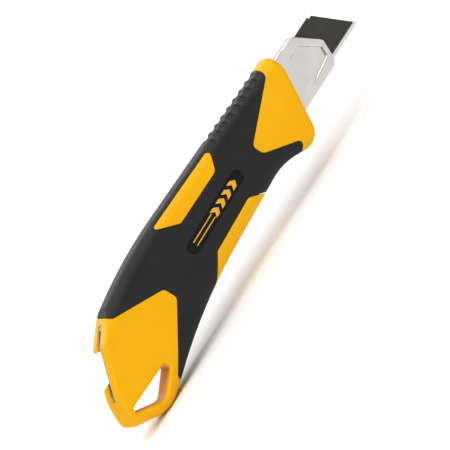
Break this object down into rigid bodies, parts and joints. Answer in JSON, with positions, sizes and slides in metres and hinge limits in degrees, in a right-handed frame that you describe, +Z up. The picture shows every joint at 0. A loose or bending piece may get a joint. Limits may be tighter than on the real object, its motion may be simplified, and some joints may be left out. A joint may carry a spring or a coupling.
{
  "type": "utility knife",
  "caption": "Snap-off blade utility knife with a hard plastic core, elastomer grip, steel blade channel, wheel-locked slider and lanyard eye.",
  "frame": {"origin": "centre of the blade holder's mouth, on the blade's mid-plane and centre line", "axes": "+X forward along the blade, +Y out of the side with the slider and its wheel, +Z up to the spine"},
  "size_m": [0.1856, 0.0233, 0.0464],
  "materials": {
    "core_plastic": "glass-filled nylon, yellow, satin moulded",
    "grip_elastomer": "black elastomer, fine matt texture",
    "badge_plastic": "glossy black",
    "channel_steel": "stainless steel, satin",
    "blade_steel": "black-coated carbon steel",
    "fitting_steel": "zinc-plated steel",
    "wheel_plastic": "black acetal",
    "insert_brass": "turned brass",
    "cap_plastic": "yellow plastic"
  },
  "bodies": {
    "handle": {"handle_core": "core_plastic", "grip_overmould": "grip_elastomer", "badge": "badge_plastic", "blade_holder": "channel_steel", "channel_rivets": "fitting_steel"},
    "slider": {"blade": "blade_steel", "clamp_plate": "fitting_steel", "hook_pin": "fitting_steel", "lock_stud": "fitting_steel", "slider_saddle": "wheel_plastic", "click_spring": "fitting_steel", "spring_washer": "fitting_steel", "retaining_clip": "fitting_steel"},
    "wheel_lift": {"pressure_washer": "fitting_steel"},
    "wheel": {"lock_wheel": "wheel_plastic", "wheel_insert": "insert_brass", "wheel_cap": "cap_plastic"}
  },
  "joints": [
    {"name": "slider_slide", "type": "slide", "parent": "handle", "child": "slider", "axis": [1, 0, 0], "range_m": [-0.05, 0.047]},
    {"name": "washer_rise", "type": "slide", "parent": "slider", "child": "wheel_lift", "axis": [0, 1, 0], "range_m": [0, 0.0006]},
    {"name": "lock_wheel_turn", "type": "hinge", "parent": "wheel_lift", "child": "wheel", "pos_m": [-0.08875, 0, 0], "axis": [0, 1, 0], "range_deg": [0, 270]}
  ],
  "couplings": [
    {"joint": "washer_rise", "follows": "lock_wheel_turn", "m_per_rad": 0.00012731}
  ]
}
